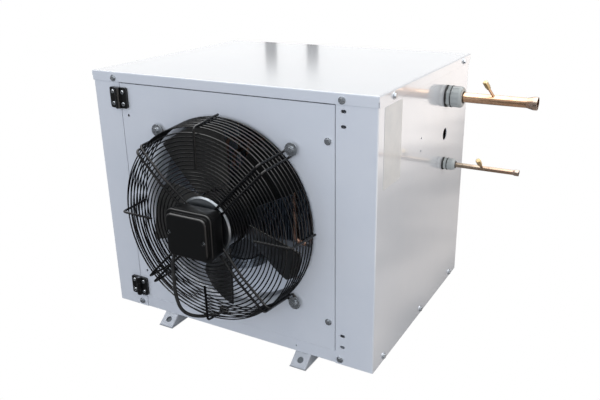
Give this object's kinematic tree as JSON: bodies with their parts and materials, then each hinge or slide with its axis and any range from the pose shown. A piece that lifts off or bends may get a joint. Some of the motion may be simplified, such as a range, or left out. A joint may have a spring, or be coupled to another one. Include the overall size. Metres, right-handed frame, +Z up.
{
  "type": "refrigeration condensing unit",
  "caption": "Boxed refrigeration condensing unit with a hinged front fan door, wire guard, rear condenser coil and two pipe connections on the side.",
  "frame": {"origin": "middle of the whole outline at floor level, under the feet", "axes": "+X to the right along the front, towards the pipe connections; +Y from the fan door to the condenser at the back; +Z up"},
  "size_m": [0.7782, 0.623, 0.52],
  "materials": {
    "white_powder_coat": "satin white powder coat on sheet steel",
    "foot_grey": "light grey coated channel",
    "black_wire": "satin black coated steel wire",
    "black_plastic": "moulded black plastic",
    "motor_metal": "bare die-cast aluminium",
    "rotor_black": "black painted rotor and windings",
    "zinc_steel": "zinc plated",
    "black_rubber": "black rubber",
    "gland_grey": "light grey polyamide",
    "copper": "drawn copper with brazing stains",
    "brass_fittings": "turned brass",
    "black_paint": "gloss black paint on steel",
    "green_paint": "painted steel shell",
    "grey_paint": "grey painted sheet"
  },
  "bodies": {
    "casing": {"base_screws": "zinc_steel", "base_tray": "white_powder_coat", "compressor": "black_paint", "compressor_base": "zinc_steel", "compressor_bolts": "zinc_steel", "compressor_grommets": "black_rubber", "compressor_terminal_cover": "black_plastic", "condensate_line": "copper", "condenser_coil": "motor_metal", "condenser_end_plates": "zinc_steel", "condenser_return_bends": "copper", "control_box": "grey_paint", "control_box_cover": "grey_paint", "discharge_line": "copper", "door_frame": "white_powder_coat", "door_gasket": "black_rubber", "filter_drier": "green_paint", "foot_rail_left": "foot_grey", "foot_rail_right": "foot_grey", "gland_inserts": "black_rubber", "gland_locknuts": "gland_grey", "gland_nut_rings": "black_rubber", "gland_seals": "black_rubber", "hinge_fixed_leaves": "black_plastic", "hinge_fixed_screws": "zinc_steel", "hinge_pins": "zinc_steel", "left_panel": "white_powder_coat", "lid": "white_powder_coat", "lid_screws": "zinc_steel", "liquid_gland_body": "gland_grey", "liquid_gland_nut": "gland_grey", "liquid_pipe": "copper", "liquid_receiver": "black_paint", "port_caps": "brass_fittings", "receiver_line": "copper", "receiver_stand": "zinc_steel", "receiver_valve": "brass_fittings", "right_panel": "white_powder_coat", "suction_gland_body": "gland_grey", "suction_gland_nut": "gland_grey", "suction_pipe": "copper"},
    "door": {"fan_door": "white_powder_coat", "door_screws": "zinc_steel", "hinge_door_leaves": "black_plastic", "hinge_door_screws": "zinc_steel", "guard_rings": "black_wire", "guard_spokes": "black_wire", "guard_washers": "zinc_steel", "guard_bolts": "zinc_steel", "motor_flange": "motor_metal", "motor_stator": "rotor_black", "terminal_box_base": "black_plastic", "terminal_box_lid": "black_plastic", "terminal_box_screws": "zinc_steel", "terminal_box_gland": "black_plastic", "motor_cable": "black_rubber", "cable_grommet": "black_rubber"},
    "rotor": {"motor_rotor": "rotor_black", "motor_shaft": "zinc_steel", "fan_impeller": "black_plastic"}
  },
  "joints": [
    {"name": "door_swing", "type": "hinge", "parent": "casing", "child": "door", "pos_m": [-0.31935, -0.1967, 0.272], "axis": [0, 0, -1], "range_deg": [0, 110]},
    {"name": "fan_spin", "type": "hinge", "parent": "door", "child": "rotor", "pos_m": [-0.08335, -0.1905, 0.272], "axis": [0, 1, 0], "continuous": true}
  ]
}
